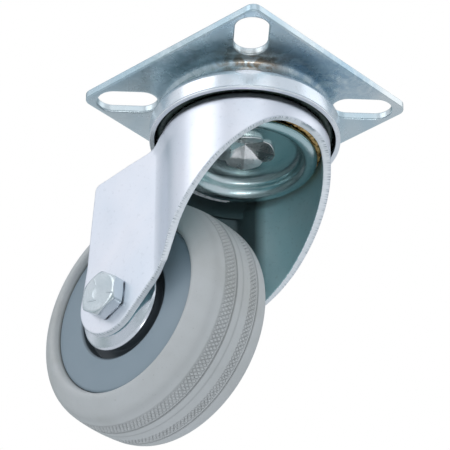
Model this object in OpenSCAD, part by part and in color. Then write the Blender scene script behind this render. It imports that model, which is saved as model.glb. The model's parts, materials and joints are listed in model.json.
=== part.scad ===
// Swivel castor with a square slotted mounting plate, a pressed steel fork
// and a solid rubber-tyred wheel on a bolted axle.
// Frame: the origin is the centre of the plate's mounting face, +Z points up
// out of that face, and X and Y run through the plate's corners, along which
// the four slots lie.  The wheel trails towards -X +Y.

/* [Mounting plate] */
// Side of the square plate
plate_side = 60.4; // [56:0.2:70]
// Thickness of the plate's sheet
plate_t = 2.3; // [1.8:0.1:3]
// Corner radius of the plate
plate_corner_r = 2.6; // [1:0.2:6]
// Distance of each slot's centre from the swivel axis
slot_pitch_r = 30.7; // [30:0.1:32]
// Overall length of a slot
slot_len = 15.8; // [10:0.2:16]
// Width of a slot
slot_w = 8.8; // [6.4:0.2:9]

/* [Swivel head] */
// Outer radius of the upper race's skirt
ring_r = 24.9; // [24.5:0.1:25.5]
// Sheet thickness of the upper race
ring_t = 1.4; // [1.2:0.1:1.5]
// Diameter of the bearing balls
ball_d = 3.969; // [3.9:0.01:3.98]
// Balls in the upper race
upper_ball_count = 31; // [12:1:32]
// Balls in the lower race
lower_ball_count = 26; // [12:1:27]
// Shank radius of the kingpin
pin_r = 5; // [4:0.1:5.5]

/* [Fork] */
// Outer radius of the fork's crown
crown_r = 22.2; // [22:0.1:22.3]
// Sheet thickness of the fork
fork_t = 2.1; // [2:0.05:2.2]
// Distance between the legs' outer faces
fork_w = 34.3; // [34:0.1:35]
// Distance of the axle behind the swivel axis
trail = 31.3; // [31:0.1:33]
// Depth of the axle below the plate's underside
axle_drop = 53.95; // [53.5:0.1:56]

/* [Wheel] */
// Overall diameter of the tyre
wheel_d = 63; // [60:0.2:64]
// Overall width of the tyre
wheel_w = 25.4; // [24:0.1:25.6]
// Radius of the hub's rim, where the tyre begins
hub_r = 23.5; // [22:0.1:24]
// Diameter of the axle bolt
bolt_d = 6.35; // [6:0.01:6.4]

/* [Hidden] */
$fn = 96;

zu = -plate_t;                       // the plate's underside
ball_r = ball_d / 2;
play = 0.12;                         // running gap at every ball
sh_r = 4;                            // radius of the crown's shoulder
crown_top = zu - 9.5;
sh_z = crown_top - sh_r;             // centre of the shoulder's curve
sh_c = crown_r - sh_r;
crown_low = zu - 16.5;               // lower edge of the crown's skirt
rear_low = zu - 21.7;                // lower edge of its deeper part over the wheel
hole_r = 8;                          // hole in the crown for the kingpin

// upper balls lie between the race's skirt and the crown's shoulder
ub_r = ring_r - ring_t - ball_r - play;
ub_z = sh_z + sqrt(pow(sh_r + ball_r + play, 2) - pow(ub_r - sh_c, 2));
ring_under = ub_z + ball_r + play;   // underside of the race's flange
ring_top = ring_under + ring_t;
ring_low = zu - 11.5;

// lower balls lie in the corner under the crown
in_r = crown_r - fork_t;
lb_r = in_r - ball_r - play;
lb_z = crown_top - fork_t - ball_r - play;

// the lower race is a dish with a 45 degree wall under the lower balls
cup_t = 1.8;
cup_rim = 18.8;
cup_top = crown_top - fork_t - 0.5;
cup_low = zu - 18.34;
bead_in = 14.57;                     // inner radius of its rounded rim
cup_k = lb_r + lb_z - sqrt(2) * (ball_r + play);  // r + z along the outer wall

axle_z = zu - axle_drop;
leg_out = fork_w / 2;
leg_in = leg_out - fork_t;
end_r = 10;                          // round end of a leg about the axle
guard_t = 1;
sleeve_r = 4.75;
bush_r = 6.3;
tyre_r = wheel_d / 2;
half_w = wheel_w / 2;

// ---- helpers ----
// everything on the fork is drawn with x along the trail and y along the axle
module fork_frame() rotate([0, 0, 135]) children();
// a solid turned about the axle: profile points are [radius, distance along the axle]
module about_axle() translate([trail, 0, axle_z]) rotate([-90, 0, 0]) rotate_extrude($fn = 128) children();
module along_axle(y0, y1) translate([trail, y0, axle_z]) rotate([-90, 0, 0]) linear_extrude(y1 - y0) children();
// a plate of the given outline in the x-z plane, from y0 to y1
module side_plate(y0, y1) translate([0, y1, 0]) rotate([90, 0, 0]) linear_extrude(y1 - y0) children();
function arc(cx, cy, r, a0, a1, n = 12) = [for (i = [0:n]) let (a = a0 + (a1 - a0) * i / n) [cx + r * cos(a), cy + r * sin(a)]];
module hex2d(af) rotate(155.1 - 180) circle(d = af / cos(30), $fn = 6);

// ---- plate and swivel head ----
module plate_outline() {
    s = plate_side / 2 - plate_corner_r;
    rotate(45) {
        square([plate_side, 2 * s], center = true);
        square([2 * s, plate_side], center = true);
        for (x = [-s, s], y = [-s, s]) translate([x, y]) circle(plate_corner_r);
    }
}
module slot2d() {
    s = (slot_len - slot_w) / 2;
    square([2 * s, slot_w], center = true);
    for (x = [-s, s]) translate([x, 0]) circle(slot_w / 2);
}
boss_bottom = ring_top;
boss_in = boss_bottom + plate_t;
module top_plate() color([0.74, 0.80, 0.83]) {
    difference() {
        union() {
            translate([0, 0, zu]) linear_extrude(plate_t) plate_outline();
            // drawn boss, filleted into the plate's underside
            rotate_extrude() polygon(concat(
                [[0, boss_bottom], [18.6, boss_bottom]],
                arc(18.6, boss_bottom + 1.4, 1.4, -90, 0, 6),
                arc(22.3, zu - 2.3, 2.3, 180, 90, 8),
                [[22.3, zu + 0.5], [0, zu + 0.5]]));
        }
        // the drawing leaves a recess in the mounting face
        rotate_extrude() polygon(concat(
            [[0, boss_in], [16.7, boss_in]],
            arc(16.7, boss_in + 1, 1, -90, 0, 6),
            arc(20.1, -2.4, 2.4, 180, 90, 8),
            [[20.1, 1], [0, 1]]));
        translate([0, 0, boss_bottom - 1]) cylinder(r = pin_r, h = 6);
        for (a = [0:90:270]) rotate(a) translate([slot_pitch_r, 0, zu - 1]) linear_extrude(plate_t + 2) slot2d();
    }
}

module upper_race() color([0.80, 0.84, 0.88]) rotate_extrude() polygon(concat(
    [[pin_r, ring_top]],
    arc(ring_r - 2.6, ring_top - 2.6, 2.6, 90, 0, 10),
    arc(ring_r - 0.35, ring_low + 0.35, 0.35, 0, -90, 4),
    arc(ring_r - ring_t + 0.35, ring_low + 0.35, 0.35, -90, -180, 4),
    arc(ring_r - 2.6, ring_top - 2.6, 2.6 - ring_t, 0, 90, 8),
    [[pin_r, ring_under]]));

// triangular prism used to strike the facets in the kingpin's end
module facet(w, d, l) rotate([90, 0, 0]) linear_extrude(l, center = true)
    polygon([[-w, 0], [w, 0], [0, d]]);
cup_floor = cup_top - cup_t;
flare_low = zu - 15.6;
module kingpin() color([0.78, 0.77, 0.78]) {
    difference() {
        union() {
            // low domed head inside the plate's recess
            rotate_extrude() polygon(concat(
                [[0, boss_in], [8.6, boss_in], [8.8, boss_in + 0.8]],
                arc(0, boss_in - 11.4, 14.85, 55, 90, 8)));
            translate([0, 0, cup_floor]) cylinder(r = pin_r, h = boss_in - cup_floor + 0.01);
            // staked end, spread over the lower race
            translate([0, 0, flare_low]) rotate_extrude() polygon([
                [0, 0], [7.6, 0], [8.2, 0.5], [8.2, 1], [7, cup_floor - flare_low],
                [0, cup_floor - flare_low]]);
        }
        // four struck petals around a sunk centre
        translate([0, 0, flare_low - 0.01]) intersection() {
            facet(7.4, 2.9, 30);
            rotate(90) facet(7.4, 2.9, 30);
        }
        for (a = [45, 135]) rotate(a) translate([0, 0, flare_low - 0.01]) facet(1.3, 1.5, 30);
    }
}

module lower_race() color([0.62, 0.72, 0.74]) rotate_extrude() polygon(concat(
    [[pin_r, cup_floor], [pin_r, cup_top]],
    arc(cup_k - cup_top - 0.83, cup_top - 2, 2, 90, 45, 5),
    [[17.05, cup_k - 17.05], [17.6, lb_z - 2.28]],
    arc(cup_rim - 1.2, cup_low + 1.2, 1.2, 75, -90, 12),
    arc(bead_in + 2.7, cup_low + 2.7, 2.7, -90, -180, 10),
    arc(bead_in - 1.75, cup_floor - 1.75, 1.75, 0, 90, 8)));

module ring_of_balls(r, z, n) for (i = [0:n - 1]) rotate(i * 360 / n) translate([r, 0, z]) sphere(ball_r, $fn = 40);
module upper_balls() color([0.55, 0.52, 0.42]) ring_of_balls(ub_r, ub_z, upper_ball_count);
module lower_balls() color([0.60, 0.52, 0.34]) ring_of_balls(lb_r, lb_z, lower_ball_count);

// ---- fork ----
tan_a = 230.5;                       // where the leg's front edge leaves its round end
tp = [trail + end_r * cos(tan_a), axle_z + end_r * sin(tan_a)];
knee = [12, zu - 50.8];              // where the leg meets the crown's wall
brow = [-18.2, zu - 19.6];           // upper end of the straight front edge
module leg_outline() polygon(concat(
    [[12, zu - 13.2], [14.6, zu - 13.9], [16.6, zu - 14.9], [18.2, zu - 15.3], [24.9, zu - 15.9], [32.2, zu - 16.9]],
    arc(trail + 3.9, zu - 19.1, 1.9, 84, 3, 6),
    [[trail + 7.1, zu - 30], [trail + 8, zu - 42]],
    arc(trail, axle_z, end_r, 9, tan_a - 360, 30),
    [knee]));
module wall_outline() polygon(concat(
    [[-23, zu - 14], [-23, crown_low], [-22, crown_low - 0.1], [-20.9, crown_low - 0.7], [-19.8, crown_low - 1.6],
     brow, knee, [14.6, zu - 52.9], [14.6, zu - 14]]));
// Below the crown the skirt's front half is round about the swivel axis, and each
// side curves in on a smaller radius until it meets its leg.
side_y = 4.7;
side_r = crown_r - side_y;
side_top = crown_low + 0.4;
module skirt2d() {
    difference() {
        intersection() {
            circle(crown_r, $fn = 128);
            translate([-30, -30]) square([30, 60]);
        }
        circle(in_r, $fn = 128);
    }
    for (s = [1, -1]) difference() {
        intersection() {
            translate([0, s * side_y]) circle(side_r);
            translate([0, s > 0 ? leg_in : -leg_in - 20]) square([14, 20]);
        }
        translate([0, s * side_y]) circle(side_r - fork_t);
    }
}
module fork() color([0.88, 0.89, 0.95]) fork_frame() difference() {
    union() {
        // crown: pressed disc, shoulder and skirt
        rotate_extrude($fn = 128) polygon(concat(
            [[hole_r, crown_top]],
            arc(sh_c, sh_z, sh_r, 90, 0, 12),
            [[crown_r, crown_low], [in_r, crown_low]],
            arc(sh_c, sh_z, sh_r - fork_t, 0, 90, 8),
            [[hole_r, crown_top - fork_t]]));
        // the skirt runs on down in front of the legs
        intersection() {
            translate([0, 0, zu - 60]) linear_extrude(side_top - zu + 60) skirt2d();
            side_plate(-30, 30) wall_outline();
        }
        // deeper skirt between the legs, over the wheel
        intersection() {
            translate([0, 0, rear_low]) linear_extrude(side_top - rear_low) difference() {
                circle(crown_r, $fn = 128);
                circle(in_r, $fn = 128);
            }
            translate([10, -leg_in - 0.6, rear_low - 1]) cube([20, 2 * leg_in + 1.2, 10]);
        }
        for (s = [1, -1]) difference() {
            side_plate(s > 0 ? leg_in : -leg_out, s > 0 ? leg_out : -leg_in) leg_outline();
            // the legs stop short of the lower balls' path
            translate([0, 0, side_top]) cylinder(r = in_r + 0.3, h = 20, $fn = 128);
        }
    }
    // axle holes
    translate([trail, -30, axle_z]) rotate([-90, 0, 0]) cylinder(d = bolt_d + 0.2, h = 60);
    // room for the lower race's rim where the skirt meets the legs
    translate([0, 0, cup_low - 1.4]) cylinder(r = cup_rim + 0.4, h = side_top - cup_low + 1.7, $fn = 128);
}

// ---- axle ----
head_h = 4;
nut_h = 7.2;
washer_t = 1.2;
nut_y = -leg_out - washer_t;         // the nut's bearing face
bolt_end = nut_y - nut_h - 1.2;
module axle_bolt() color([0.86, 0.87, 0.90]) fork_frame() {
    // hexagon head with a chamfered crown
    intersection() {
        along_axle(leg_out, leg_out + head_h) mirror([0, 1]) hex2d(11.11);
        about_axle() polygon([[0, leg_out - 1], [7, leg_out - 1], [7, leg_out + head_h - 0.75], [5.35, leg_out + head_h], [0, leg_out + head_h]]);
    }
    along_axle(bolt_end + 0.5, leg_out + 0.01) circle(d = bolt_d);
    about_axle() polygon([[0, bolt_end], [bolt_d / 2 - 0.5, bolt_end], [bolt_d / 2, bolt_end + 0.5], [0, bolt_end + 0.5]]);
}
module axle_nut() color([0.80, 0.83, 0.86]) fork_frame() difference() {
    union() {
        intersection() {
            along_axle(nut_y - nut_h + 1.6, nut_y) mirror([0, 1]) hex2d(11.11);
            about_axle() polygon([[0, nut_y], [5.6, nut_y], [6.5, nut_y - 0.5], [6.5, nut_y - nut_h + 2.1], [5.5, nut_y - nut_h + 1.6], [0, nut_y - nut_h + 1.6]]);
        }
        about_axle() polygon([[3.6, nut_y - nut_h + 2], [5.3, nut_y - nut_h + 2], [5.3, nut_y - nut_h + 0.6], [4.9, nut_y - nut_h], [3.6, nut_y - nut_h]]);
    }
    translate([trail, nut_y - 12, axle_z]) rotate([-90, 0, 0]) cylinder(d = bolt_d, h = 14);
    // seat of the locking insert
    translate([trail, nut_y - nut_h + 0.4, axle_z]) rotate([-90, 0, 0]) cylinder(r = 4.6, h = 1.6);
}
module nut_insert() color([0.85, 0.87, 0.90]) fork_frame()
    about_axle() polygon([[bolt_d / 2, nut_y - nut_h + 0.4], [4.6, nut_y - nut_h + 0.4], [4.6, nut_y - nut_h + 2], [bolt_d / 2, nut_y - nut_h + 2]]);
module nut_washer() color([0.82, 0.85, 0.88]) fork_frame() difference() {
    along_axle(-leg_out - washer_t, -leg_out) circle(7.4);
    along_axle(-leg_out - 5, -leg_out + 5) circle(d = bolt_d + 0.3);
}
module axle_sleeve() color([0.66, 0.68, 0.70]) fork_frame() difference() {
    along_axle(-leg_in + guard_t, leg_in - guard_t) circle(sleeve_r);
    along_axle(-30, 30) circle(d = bolt_d + 0.2);
}
// dished cover that keeps threads and dirt out of the hub; s is its side of the wheel
module thread_guard(s) fork_frame() difference() {
    about_axle() polygon([
        [0, s * leg_in], [8.6, s * leg_in], [9.4, s * (leg_in - 0.25)], [12.6, s * (leg_in - 1.85)], [12.8, s * (leg_in - 2.2)],
        [12.6, s * (leg_in - 2.75)], [12.2, s * (leg_in - 2.75)], [9, s * (leg_in - guard_t - 0.3)], [8.3, s * (leg_in - guard_t)], [0, s * (leg_in - guard_t)]]);
    along_axle(-30, 30) circle(d = bolt_d + 0.2);
}
module thread_guard_left() color([0.90, 0.91, 0.94]) thread_guard(1);
module thread_guard_right() color([0.90, 0.91, 0.94]) thread_guard(-1);

// ---- wheel ----
lock_r = 25.3;                       // ridge that keys the tyre on the hub
module hub() color([0.56, 0.62, 0.66]) fork_frame() about_axle() polygon([
    [bush_r, -11.9], [10.9, -11.9], [10.9, -8.6], [14.3, -8.6], [14.3, -11.5], [14.7, -11.8], [hub_r - 0.4, -10.95], [hub_r, -10.5],
    [hub_r, -5.5], [lock_r, -4.2], [lock_r, 4.2], [hub_r, 5.5],
    [hub_r, 10.5], [hub_r - 0.4, 10.95], [14.7, 11.8], [14.3, 11.5], [14.3, 8.6], [10.9, 8.6], [10.9, 11.9], [bush_r, 11.9]]);
module bush(s) fork_frame() about_axle() polygon([
    [sleeve_r + 0.08, s * 1.5], [bush_r, s * 1.5], [bush_r, s * 11.9], [8.2, s * 11.9], [8.2, s * 13.2], [7.9, s * 13.6], [sleeve_r + 0.08, s * 13.6]]);
module bush_left() color([0.80, 0.80, 0.78]) bush(1);
module bush_right() color([0.80, 0.80, 0.78]) bush(-1);

// half of the tyre's outer profile, [radius, distance from the middle], from the hub outwards
function tyre_half() = concat(
    [[hub_r, 10.5], [hub_r + 0.35, 11.3], [hub_r + 0.75, half_w - 0.35], [hub_r + 1.4, half_w], [hub_r + 2.2, half_w - 0.35],
     [tyre_r - 2.7, 10.35], [tyre_r - 1.6, 9.5], [tyre_r - 0.95, 8.7], [tyre_r - 0.62, 7.6]],
    [for (y = [6.5, 5.3]) [tyre_r - 0.6 * pow(y / 7.6, 2), y]]);
module tyre() color([0.73, 0.74, 0.75]) fork_frame() about_axle() polygon(concat(
    tyre_half(),
    [[tyre_r - 0.55, 5.2], [tyre_r - 0.3, 5.1], [tyre_r - 0.1, 2.95], [tyre_r - 0.35, 2.8], [tyre_r - 0.1, 2.65], [tyre_r, 0],
     [tyre_r - 0.1, -2.65], [tyre_r - 0.3, -5.1], [tyre_r - 0.55, -5.2]],
    [for (i = [len(tyre_half()) - 1:-1:0]) let (q = tyre_half()[i]) [q[0], -q[1]]],
    [[hub_r, -5.5], [lock_r, -4.2], [lock_r, 4.2], [hub_r, 5.5]]));

top_plate();
upper_race();
kingpin();
lower_race();
upper_balls();
lower_balls();
fork();
axle_bolt();
axle_nut();
nut_insert();
nut_washer();
axle_sleeve();
thread_guard_left();
thread_guard_right();
hub();
bush_left();
bush_right();
tyre();
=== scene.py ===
import json
import math

import bmesh
import bpy
import numpy as np
from mathutils import Matrix, Vector


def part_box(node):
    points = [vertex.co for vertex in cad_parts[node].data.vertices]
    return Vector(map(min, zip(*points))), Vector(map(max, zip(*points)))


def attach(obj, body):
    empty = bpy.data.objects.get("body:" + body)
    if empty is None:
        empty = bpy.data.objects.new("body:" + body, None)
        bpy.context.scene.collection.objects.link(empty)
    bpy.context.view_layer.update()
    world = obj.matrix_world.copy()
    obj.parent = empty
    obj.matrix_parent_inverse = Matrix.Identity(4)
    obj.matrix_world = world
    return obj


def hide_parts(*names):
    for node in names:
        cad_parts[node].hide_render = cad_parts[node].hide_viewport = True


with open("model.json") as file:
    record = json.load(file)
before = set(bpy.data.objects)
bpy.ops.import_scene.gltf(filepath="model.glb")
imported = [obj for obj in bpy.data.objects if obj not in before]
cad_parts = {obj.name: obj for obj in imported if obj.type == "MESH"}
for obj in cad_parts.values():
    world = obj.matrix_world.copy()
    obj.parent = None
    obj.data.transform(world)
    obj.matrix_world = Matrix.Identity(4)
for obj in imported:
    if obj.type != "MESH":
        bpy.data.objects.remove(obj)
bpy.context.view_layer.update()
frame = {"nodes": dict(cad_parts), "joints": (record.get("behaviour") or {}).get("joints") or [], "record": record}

MM = 0.001
REC = frame["record"]
JOINTS = {j["name"]: j for j in frame["joints"]}
WHEEL = Vector(JOINTS["wheel_spin"]["pos_m"])
A = Vector(JOINTS["wheel_spin"]["axis"]).normalized()      # along the axle, towards the bolt's head
Z = Vector((0, 0, 1))
T = Vector((WHEEL.x, WHEEL.y, 0)).normalized()             # the way the wheel trails
TRAIL = Vector((WHEEL.x, WHEEL.y, 0)).length / MM
AXLE_Z = WHEEL.z / MM


def zbox(node):
    lo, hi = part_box(node)
    return lo.z / MM, hi.z / MM


# ------------------------------------------------------------------ camera
def make_camera():
    cam = bpy.data.cameras.new("camera")
    ob = bpy.data.objects.new("camera", cam)
    bpy.context.scene.collection.objects.link(ob)
    az, el = math.radians(-2.931), math.radians(-33.04)
    back = Vector((math.sin(az) * math.cos(el), -math.cos(az) * math.cos(el), math.sin(el)))
    target = Vector((-0.088, 21.903, -22.277)) * MM
    ob.location = target + back * 0.82136
    fw = -back
    right = fw.cross(Z).normalized()
    up = right.cross(fw)
    roll = math.radians(0.163)
    r2 = right * math.cos(roll) + up * math.sin(roll)
    u2 = -right * math.sin(roll) + up * math.cos(roll)
    ob.matrix_world = Matrix((
        (r2.x, u2.x, back.x, ob.location.x),
        (r2.y, u2.y, back.y, ob.location.y),
        (r2.z, u2.z, back.z, ob.location.z),
        (0, 0, 0, 1)))
    cam.sensor_width = 36
    cam.lens = 3109.35 / 450 * 36
    cam.shift_x = (225 - 240.04) / 450
    cam.shift_y = (215.48 - 225) / 450
    cam.clip_start = 0.01
    cam.clip_end = 30
    bpy.context.scene.camera = ob
    return ob


camera = make_camera()


# ------------------------------------------------------------------ mesh helpers
def fork_pt(x, y, z):
    """A point in the fork's own frame (x along the trail, y along the axle, z up from the plate), in mm, as metres in the row."""
    return (T * x + A * y + Z * z) * MM


def head_pt(x, y, z):
    return Vector((x, y, z)) * MM


def arc(cx, cy, r, a0, a1, n):
    return [(cx + r * math.cos(math.radians(a0 + (a1 - a0) * i / n)),
             cy + r * math.sin(math.radians(a0 + (a1 - a0) * i / n))) for i in range(n + 1)]


def rounded(points, closed=True, n=5):
    """A polyline whose corners (x, y, radius) are rounded."""
    out = []
    m = len(points)
    for i, p in enumerate(points):
        x, y = p[0], p[1]
        r = p[2] if len(p) > 2 else 0
        if r <= 0 or (not closed and i in (0, m - 1)):
            out.append((x, y))
            continue
        a = np.array(points[i - 1][:2], float)
        b = np.array((x, y), float)
        c = np.array(points[(i + 1) % m][:2], float)
        u, v = a - b, c - b
        lu, lv = np.linalg.norm(u), np.linalg.norm(v)
        u, v = u / lu, v / lv
        cosang = float(np.clip(u @ v, -1, 1))
        half = math.acos(cosang) / 2
        if half > math.radians(89.5):
            out.append((x, y))
            continue
        d = min(r / math.tan(half), 0.49 * lu, 0.49 * lv)
        rr = d * math.tan(half)
        bis = (u + v) / np.linalg.norm(u + v)
        cen = b + bis * (rr / math.sin(half))
        p0, p1 = b + u * d, b + v * d
        a0 = math.atan2(*(p0 - cen)[::-1])
        a1 = math.atan2(*(p1 - cen)[::-1])
        da = (a1 - a0 + math.pi) % (2 * math.pi) - math.pi
        for k in range(n + 1):
            t = a0 + da * k / n
            out.append((cen[0] + rr * math.cos(t), cen[1] + rr * math.sin(t)))
    return out


def finish_mesh(name, verts, faces, mats, body, replaces=(), sharp=40, weighted=True, uv=None, mat_index=None, recalc=True, dirt=None):
    me = bpy.data.meshes.new(name)
    me.from_pydata([tuple(v) for v in verts], [], [tuple(f) for f in faces])
    if mat_index is not None:
        me.polygons.foreach_set("material_index", mat_index)
    if uv is not None:
        layer = me.uv_layers.new(name="UVMap")
        layer.data.foreach_set("uv", np.array(uv, np.float32).ravel())
    if dirt is not None:
        # Per-vertex darkening read by the tyre's material; on the tyre it is partly painted shade.
        me.attributes.new("dirt", "FLOAT", "POINT").data.foreach_set("value", np.array(dirt, np.float32))
    me.validate()
    bm = bmesh.new()
    bm.from_mesh(me)
    if recalc:
        bmesh.ops.recalc_face_normals(bm, faces=bm.faces)
    bm.to_mesh(me)
    bm.free()
    me.shade_smooth()
    me.set_sharp_from_angle(angle=math.radians(sharp))
    ob = bpy.data.objects.new(name, me)
    bpy.context.scene.collection.objects.link(ob)
    for m in (mats if isinstance(mats, (list, tuple)) else [mats]):
        me.materials.append(m)
    if weighted:
        mod = ob.modifiers.new("normals", "WEIGHTED_NORMAL")
        mod.keep_sharp = True
        mod.weight = 60
        apply_modifiers(ob)
    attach(ob, body)
    if replaces:
        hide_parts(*replaces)
    return ob


def apply_modifiers(ob):
    deps = bpy.context.evaluated_depsgraph_get()
    deps.update()
    new = bpy.data.meshes.new_from_object(ob.evaluated_get(deps), preserve_all_data_layers=True, depsgraph=deps)
    old = ob.data
    ob.modifiers.clear()
    ob.data = new
    bpy.data.meshes.remove(old)


def revolve_data(profile, place, segs, closed=True, bump=None):
    """Vertices and quads of a turned profile of (radius, height) points. Points on the axis become poles.
    bump(i, radius, height, angle) may move a point's (radius, height)."""
    verts, faces, rings = [], [], []
    for i, (r, h) in enumerate(profile):
        if r < 1e-6:
            rings.append([len(verts)])
            verts.append(place(0, h, 0))
            continue
        ring = []
        for k in range(segs):
            a = 2 * math.pi * k / segs
            rr, hh = (r, h) if bump is None else bump(i, r, h, a)
            ring.append(len(verts))
            verts.append(place(rr, hh, a))
        rings.append(ring)
    n = len(rings)
    for i in range(n if closed else n - 1):
        p, q = rings[i], rings[(i + 1) % n]
        if len(p) == 1 and len(q) == 1:
            continue
        for k in range(segs):
            k2 = (k + 1) % segs
            if len(p) == 1:
                faces.append((p[0], q[k2], q[k]))
            elif len(q) == 1:
                faces.append((p[k], p[k2], q[0]))
            else:
                faces.append((p[k], p[k2], q[k2], q[k]))
    return verts, faces


def about_axle(r, h, a):
    return WHEEL + A * (h * MM) + (T * math.cos(a) + Z * math.sin(a)) * (r * MM)


def about_pivot(r, h, a):
    return Vector((r * math.cos(a), r * math.sin(a), h)) * MM


def turned(name, profile, place, mats, body, replaces=(), segs=160, closed=True, sharp=40, bump=None, weighted=True):
    v, f = revolve_data(profile, place, segs, closed, bump)
    return finish_mesh(name, v, f, mats, body, replaces, sharp, weighted)


# ------------------------------------------------------------------ materials
def nodes_of(name):
    m = bpy.data.materials.new(name)
    m.use_nodes = True
    nt = m.node_tree
    bsdf = nt.nodes["Principled BSDF"]
    return m, nt, bsdf


def noise(nt, scale, detail=4, rough=0.55, coord=None, dist=0.0):
    n = nt.nodes.new("ShaderNodeTexNoise")
    n.inputs["Scale"].default_value = scale
    n.inputs["Detail"].default_value = detail
    n.inputs["Roughness"].default_value = rough
    n.inputs["Distortion"].default_value = dist
    if coord is not None:
        nt.links.new(coord, n.inputs["Vector"])
    return n


def ramp(nt, fac, stops):
    r = nt.nodes.new("ShaderNodeValToRGB")
    el = r.color_ramp.elements
    while len(el) < len(stops):
        el.new(0.5)
    for e, (p, c) in zip(el, stops):
        e.position = p
        e.color = (c[0], c[1], c[2], 1) if len(c) == 3 else c
    nt.links.new(fac, r.inputs["Fac"])
    return r


def mapped(nt, scale=(1, 1, 1), kind="Object"):
    tc = nt.nodes.new("ShaderNodeTexCoord")
    mp = nt.nodes.new("ShaderNodeMapping")
    mp.inputs["Scale"].default_value = scale
    nt.links.new(tc.outputs[kind], mp.inputs["Vector"])
    return mp.outputs["Vector"]


def map_range(nt, value, lo, hi, a=0.0, b=1.0):
    n = nt.nodes.new("ShaderNodeMapRange")
    n.inputs["From Min"].default_value = a
    n.inputs["From Max"].default_value = b
    n.inputs["To Min"].default_value = lo
    n.inputs["To Max"].default_value = hi
    nt.links.new(value, n.inputs["Value"])
    return n.outputs["Result"]


def zinc(name, base, cool, warm, rough=(0.20, 0.34), grain=0.06, scratch=0.05, wave=0.12, spots=0.0):
    """Bright zinc plate: a faint cool and warm mottle, uneven gloss, fine grain and handling scratches."""
    m, nt, b = nodes_of(name)
    co = mapped(nt)
    n1 = noise(nt, 38, 3, 0.5, co, 0.6)
    col = ramp(nt, n1.outputs["Fac"], [(0.30, cool), (0.5, base), (0.72, warm)])
    n5 = noise(nt, 900, 3, 0.6, co)
    dust = ramp(nt, n5.outputs["Fac"], [(0.28, (0.80, 0.80, 0.80)), (0.42, (1, 1, 1))])
    mix = nt.nodes.new("ShaderNodeMix")
    mix.data_type = "RGBA"
    mix.blend_type = "MULTIPLY"
    mix.inputs["Factor"].default_value = 0.35 + spots
    nt.links.new(col.outputs["Color"], mix.inputs["A"])
    nt.links.new(dust.outputs["Color"], mix.inputs["B"])
    nt.links.new(mix.outputs["Result"], b.inputs["Base Color"])
    b.inputs["Metallic"].default_value = 1.0
    n2 = noise(nt, 120, 5, 0.6, co, 0.3)
    nt.links.new(map_range(nt, n2.outputs["Fac"], rough[0], rough[1], 0.3, 0.72), b.inputs["Roughness"])
    n3 = noise(nt, 2600, 3, 0.6, co)
    bump1 = nt.nodes.new("ShaderNodeBump")
    bump1.inputs["Strength"].default_value = grain
    bump1.inputs["Distance"].default_value = 0.0001
    nt.links.new(n3.outputs["Fac"], bump1.inputs["Height"])
    n4 = noise(nt, 55, 2, 0.5, co)
    bump2 = nt.nodes.new("ShaderNodeBump")
    bump2.inputs["Strength"].default_value = wave
    bump2.inputs["Distance"].default_value = 0.0012
    nt.links.new(n4.outputs["Fac"], bump2.inputs["Height"])
    nt.links.new(bump1.outputs["Normal"], bump2.inputs["Normal"])
    sc = mapped(nt, (1400, 90, 500))
    n6 = noise(nt, 1, 2, 0.5, sc, 0.4)
    bump3 = nt.nodes.new("ShaderNodeBump")
    bump3.inputs["Strength"].default_value = scratch
    bump3.inputs["Distance"].default_value = 0.0001
    nt.links.new(n6.outputs["Fac"], bump3.inputs["Height"])
    nt.links.new(bump2.outputs["Normal"], bump3.inputs["Normal"])
    nt.links.new(bump3.outputs["Normal"], b.inputs["Normal"])
    return m


def zinc_edge(name):
    """Sheared edge of a zinc-plated pressing: bright, with fine teeth along its outer side left by the punch."""
    m, nt, b = nodes_of(name)
    b.inputs["Metallic"].default_value = 0.35
    uv = mapped(nt, (1, 1, 1), "UV")
    st = mapped(nt, (1.0, 0.05, 1), "UV")
    n1 = noise(nt, 3300, 2, 0.6, st)
    col = ramp(nt, n1.outputs["Fac"], [(0.40, (0.36, 0.42, 0.45)), (0.52, (0.90, 0.92, 0.95))])
    sep = nt.nodes.new("ShaderNodeSeparateXYZ")
    nt.links.new(uv, sep.inputs["Vector"])
    side = map_range(nt, sep.outputs["Y"], 0.12, 1.0, -0.0011, -0.0002)
    mix = nt.nodes.new("ShaderNodeMix")
    mix.data_type = "RGBA"
    nt.links.new(side, mix.inputs["Factor"])
    mix.inputs["A"].default_value = (0.93, 0.95, 0.97, 1)
    nt.links.new(col.outputs["Color"], mix.inputs["B"])
    nt.links.new(mix.outputs["Result"], b.inputs["Base Color"])
    nt.links.new(map_range(nt, n1.outputs["Fac"], 0.30, 0.48, 0.3, 0.7), b.inputs["Roughness"])
    bump = nt.nodes.new("ShaderNodeBump")
    bump.inputs["Strength"].default_value = 0.3
    bump.inputs["Distance"].default_value = 0.0001
    nt.links.new(n1.outputs["Fac"], bump.inputs["Height"])
    nt.links.new(bump.outputs["Normal"], b.inputs["Normal"])
    return m


def plastic(name, base, dark, rough=(0.34, 0.48), grain=0.05, scale=1800, coat=0.0):
    m, nt, b = nodes_of(name)
    co = mapped(nt)
    n1 = noise(nt, 60, 4, 0.6, co)
    col = ramp(nt, n1.outputs["Fac"], [(0.32, dark), (0.66, base)])
    nt.links.new(col.outputs["Color"], b.inputs["Base Color"])
    n2 = noise(nt, 260, 4, 0.6, co)
    nt.links.new(map_range(nt, n2.outputs["Fac"], rough[0], rough[1], 0.3, 0.7), b.inputs["Roughness"])
    n3 = noise(nt, scale, 3, 0.6, co)
    bump = nt.nodes.new("ShaderNodeBump")
    bump.inputs["Strength"].default_value = grain
    bump.inputs["Distance"].default_value = 0.0001
    nt.links.new(n3.outputs["Fac"], bump.inputs["Height"])
    nt.links.new(bump.outputs["Normal"], b.inputs["Normal"])
    b.inputs["Coat Weight"].default_value = coat
    return m


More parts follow.
